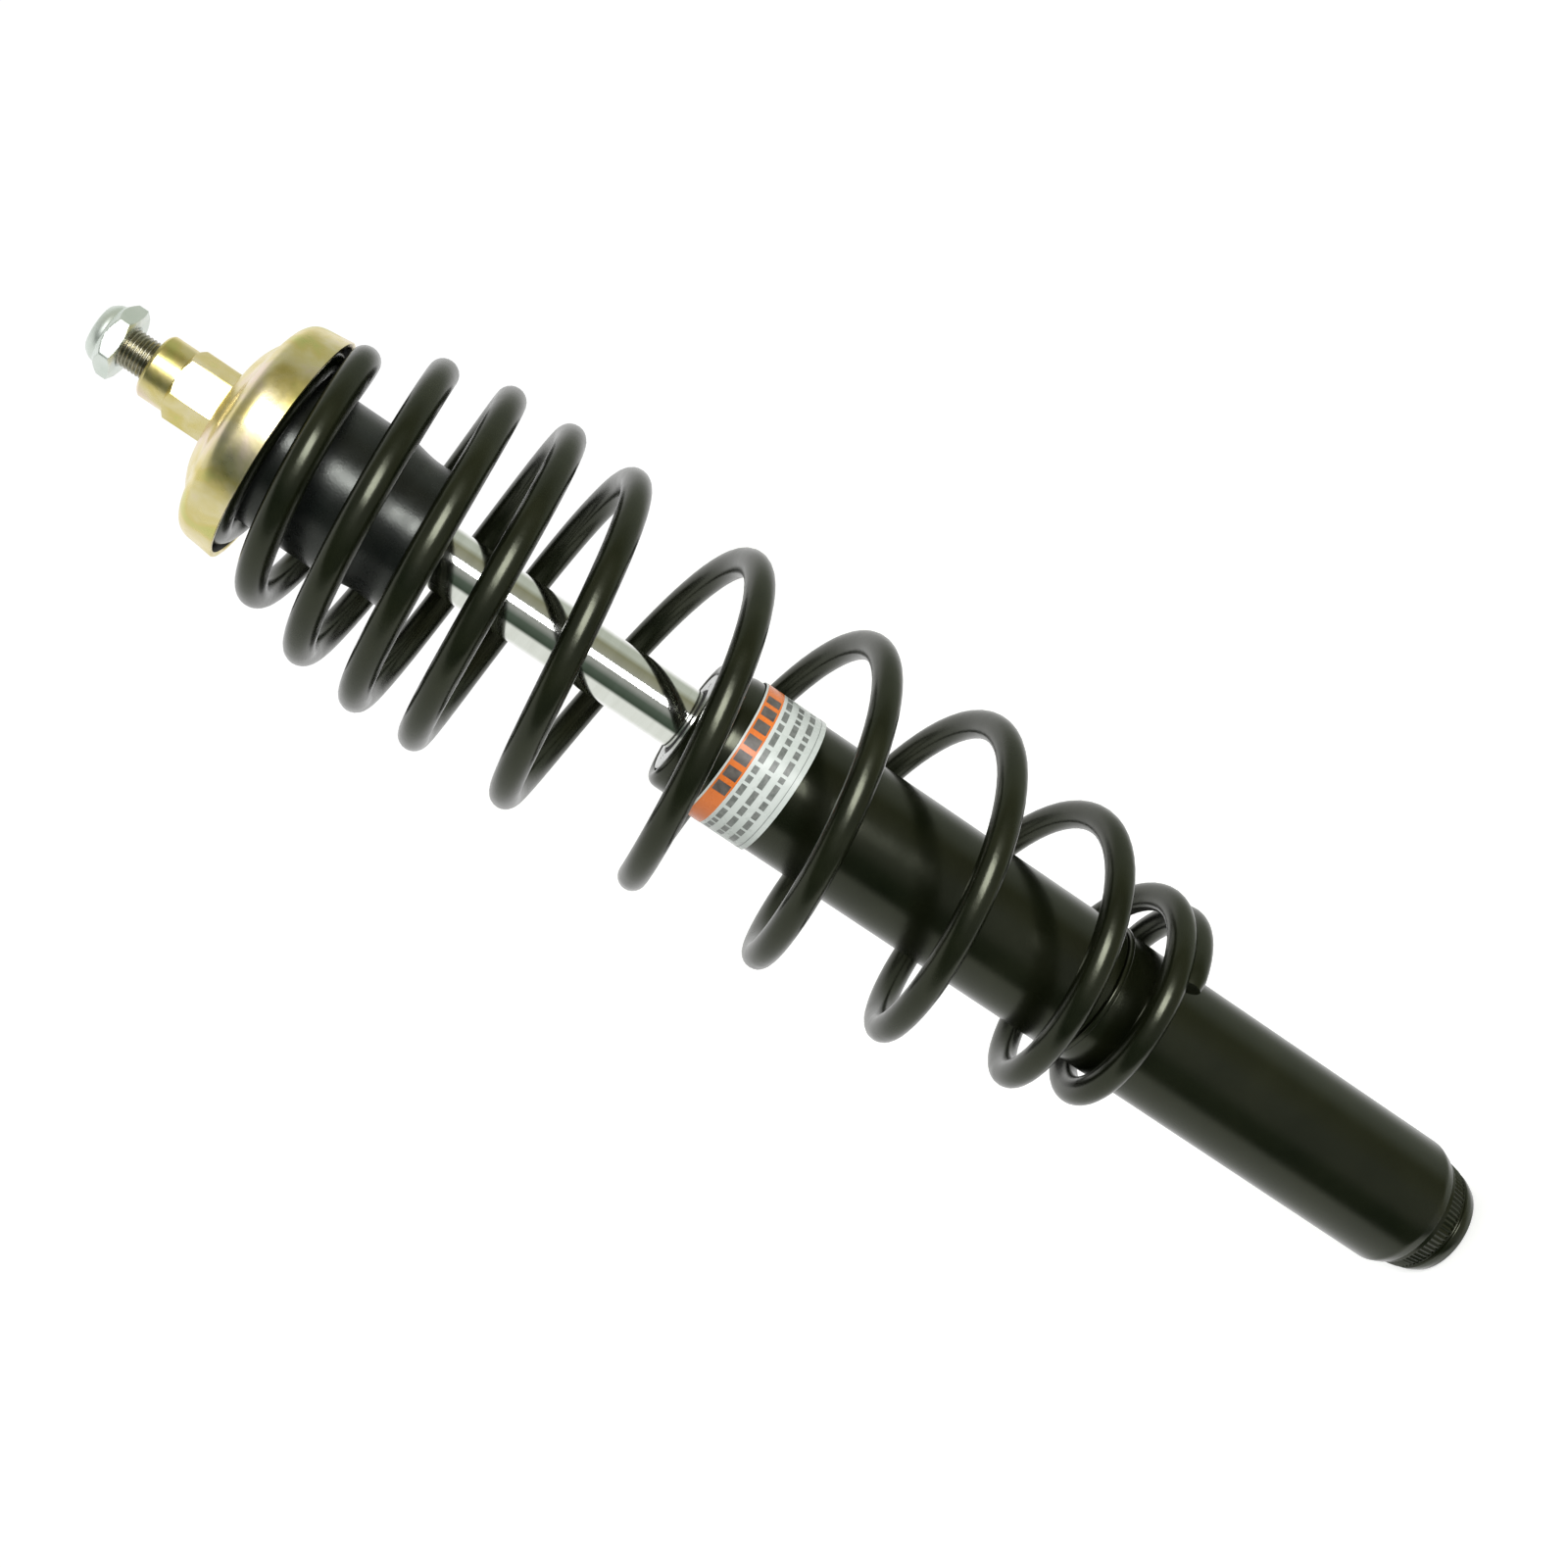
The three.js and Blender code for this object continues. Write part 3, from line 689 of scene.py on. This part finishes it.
WIRE_R = 3.85
COIL_FIRST, COIL_LAST = -0.18, 11.1
COIL_START_Z = 111.0
COIL_R_LOW, COIL_R_MIDDLE, COIL_R_HIGH = 27.5, 41.4, 24.6
COIL_SWELL = (0.5, 2.95)
COIL_TAPER_START, COIL_TAPER = 7.3, 1.65
COIL_TUCK_START, COIL_TUCK = 9.915, 26
COIL_PITCH = [
    (0.15, 0), (1, 18.5), (2, 38.15), (5.57, 38.15), (6.37, 17), (10.3, 17), (10.55, 0.5),
]
COIL_OFFSET = [(0.4, 3.2), (4.5, 1), (6.5, 0.6), (10, 0.7), (10.3, 0)]
COIL_LEAN = [(0.7, 0), (2, 1.1), (4, 1), (6, 0.85), (10, 0.3)]
COIL_LEAN_SIDE = math.radians(65)


def between(stations, x):
    """A value that changes evenly between the stations, and holds past the ends."""
    if x <= stations[0][0]:
        return stations[0][1]
    for (x0, y0), (x1, y1) in zip(stations, stations[1:]):
        if x <= x1:
            return y0 + (y1 - y0) * (x - x0) / (x1 - x0)
    return stations[-1][1]


def area_under(stations, end):
    stops = [0, *[x for x, _ in stations if 0 < x < end], end]
    return sum(
        (b - a) * (between(stations, a) + between(stations, b)) / 2
        for a, b in zip(stops, stops[1:])
    )


def coil_radius(turn):
    start, end = COIL_SWELL
    t = min(1, max(0, (turn - start) / (end - start)))
    low = COIL_R_LOW + (COIL_R_MIDDLE - COIL_R_LOW) * t * t * (3 - 2 * t)
    narrowing = max(0, min(turn, COIL_TUCK_START) - COIL_TAPER_START)
    tuck = COIL_TUCK * max(0, turn - COIL_TUCK_START)
    return max(COIL_R_HIGH, low - COIL_TAPER * narrowing**2 - tuck)


def coil_point(turn):
    angle = 2 * math.pi * turn
    r = coil_radius(turn)
    x = between(COIL_OFFSET, turn) + r * math.cos(angle)
    lean = between(COIL_LEAN, turn) * math.cos(angle - COIL_LEAN_SIDE)
    z = COIL_START_Z + area_under(COIL_PITCH, max(0, turn)) + lean
    return Vector((x, r * math.sin(angle), z))


def build_spring():
    """The wire, swept along the coil, with its two ends slightly narrowed."""
    sides = 24
    end_inset = 0.5
    steps = int((COIL_LAST - COIL_FIRST) * 60)
    verts, faces = [], []
    for row in range(steps + 1):
        turn = COIL_FIRST + (COIL_LAST - COIL_FIRST) * row / steps
        r = WIRE_R - end_inset if row in (0, steps) else WIRE_R
        here = coil_point(turn)
        along = (coil_point(turn + 0.004) - coil_point(turn - 0.004)).normalized()
        out = Vector((math.cos(2 * math.pi * turn), math.sin(2 * math.pi * turn), 0))
        out = (out - along * out.dot(along)).normalized()
        side = along.cross(out)
        for k in range(sides):
            angle = 2 * math.pi * k / sides
            verts.append(here + (out * math.cos(angle) + side * math.sin(angle)) * r)
    for row in range(steps):
        for k in range(sides):
            a, b = row * sides + k, row * sides + (k + 1) % sides
            faces.append([a, b, b + sides, a + sides])
    faces.append(list(range(sides)))
    faces.append([steps * sides + k for k in range(sides)])
    spring = new_piece("coil_wire", verts, faces, spring_black)
    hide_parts("coil_spring")
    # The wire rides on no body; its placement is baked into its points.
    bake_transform(spring)


build_tube()
build_gland()
build_foot()
build_ring()
build_label()
build_rod()
build_bump_stop()
build_cup()
build_spacer()
build_nut()
build_spring()

# The pieces inside the tube keep their CAD shapes
INNER_FINISHES = {
    "rod_guide": sintered_iron,
    "guide_bush": bronze,
    "gland_o_ring": seal_rubber,
    "rod_seal": seal_rubber,
    "inner_cylinder": plain_steel,
    "base_valve_body": sintered_iron,
    "base_valve_plate": plain_steel,
    "base_valve_spring": plain_steel,
    "rebound_stop": nylon,
    "compression_shims": plain_steel,
    "piston": sintered_iron,
    "piston_band": nylon,
    "rebound_shims": plain_steel,
    "piston_nut": plain_steel,
}
for node, material in INNER_FINISHES.items():
    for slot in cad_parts[node].material_slots:
        slot.material = material


# Floor, surroundings, lights and camera


def build_floor():
    """A pale floor just below the foot. It is left out of the metal's reflections."""
    size = 6
    z = -0.0004
    mesh = bpy.data.meshes.new("floor")
    corners = [(-size, -size, z), (size, -size, z), (size, size, z), (-size, size, z)]
    mesh.from_pydata(corners, [], [(0, 1, 2, 3)])
    paint = bpy.data.materials.new("floor_white")
    paint.use_nodes = True
    shader = paint.node_tree.nodes["Principled BSDF"]
    shader.inputs["Base Color"].default_value = (0.9, 0.9, 0.9, 1)
    shader.inputs["Roughness"].default_value = 0.9
    shader.inputs["Emission Color"].default_value = (1, 1, 1, 1)
    shader.inputs["Emission Strength"].default_value = 0.5
    mesh.materials.append(paint)
    floor = bpy.data.objects.new("floor", mesh)
    floor.visible_glossy = False
    bpy.context.scene.collection.objects.link(floor)


def build_surroundings():
    """A white wall behind the strut, dimmer ones beside it, a dark gap and a grey wall in front."""
    world = bpy.data.worlds.new("studio")
    bpy.context.scene.world = world
    world.use_nodes = True
    nodes, links = world.node_tree.nodes, world.node_tree.links
    background = nodes["Background"]
    coordinates = nodes.new("ShaderNodeTexCoord")
    around = nodes.new("ShaderNodeTexGradient")
    around.gradient_type = "RADIAL"
    links.new(coordinates.outputs["Generated"], around.inputs["Vector"])
    ramp = nodes.new("ShaderNodeValToRGB")
    white, pale, dim = (1, 1, 1), (0.80, 0.82, 0.78), (0.50, 0.53, 0.46)
    dark, gloom, grey = (0.05, 0.07, 0.05), (0.09, 0.115, 0.09), (0.32, 0.33, 0.31)
    olive, moss = (0.32, 0.32, 0.25), (0.25, 0.25, 0.16)
    stations = [
        (-90, pale), (-68, pale), (-56, dark), (-28, gloom), (-9, grey), (24, grey), (36, olive),
        (66, moss), (88, dim), (120, dim), (150, white), (212, white), (235, pale),
    ]
    stops = ramp.color_ramp.elements
    while len(stops) < len(stations):
        stops.new(0.5)
    for stop, (degrees, colour) in zip(stops, stations):
        stop.position = degrees / 360 + 0.25
        stop.color = (*colour, 1)
    links.new(around.outputs["Fac"], ramp.inputs["Fac"])
    links.new(ramp.outputs["Color"], background.inputs["Color"])
    background.inputs["Strength"].default_value = 1.05


def soft_light(name, degrees, distance, z, width, height, power):
    """A soft rectangle at an angle around the strut, aimed at its axis."""
    data = bpy.data.lights.new(name, "AREA")
    data.shape = "RECTANGLE"
    data.size, data.size_y = width, height
    data.energy = power
    light = bpy.data.objects.new(name, data)
    bpy.context.scene.collection.objects.link(light)
    angle = math.radians(degrees)
    light.location = (distance * math.sin(angle), -distance * math.cos(angle), z)
    target = Vector((0, 0, min(z, 0.3)))
    light.rotation_euler = (target - light.location).to_track_quat("-Z", "Y").to_euler()


def build_camera():
    """A view from -Y, a little downwards, turned so that the strut lies aslant."""
    tilt = math.radians(10.09)
    slant = math.radians(33.9)
    along = Vector((0, -math.sin(tilt), -math.cos(tilt)))
    across = Vector((1, 0, 0))
    right = math.cos(slant) * along + math.sin(slant) * across
    up = -math.sin(slant) * along + math.cos(slant) * across
    back = right.cross(up)
    data = bpy.data.cameras.new("photo_camera")
    data.sensor_width = 36
    data.lens = 42.73
    data.clip_start = 0.01
    camera = bpy.data.objects.new("photo_camera", data)
    bpy.context.scene.collection.objects.link(camera)
    turn = Matrix((right, up, back)).transposed().to_4x4()
    place = Vector((0.0006, -0.472, 0.3068))
    camera.matrix_world = Matrix.Translation(place) @ turn
    bpy.context.scene.camera = camera


build_floor()
build_surroundings()
soft_light("key_light", 15, 0.95, 0.42, 0.36, 0.68, 10)
build_camera()
bpy.context.scene.view_settings.view_transform = "Standard"
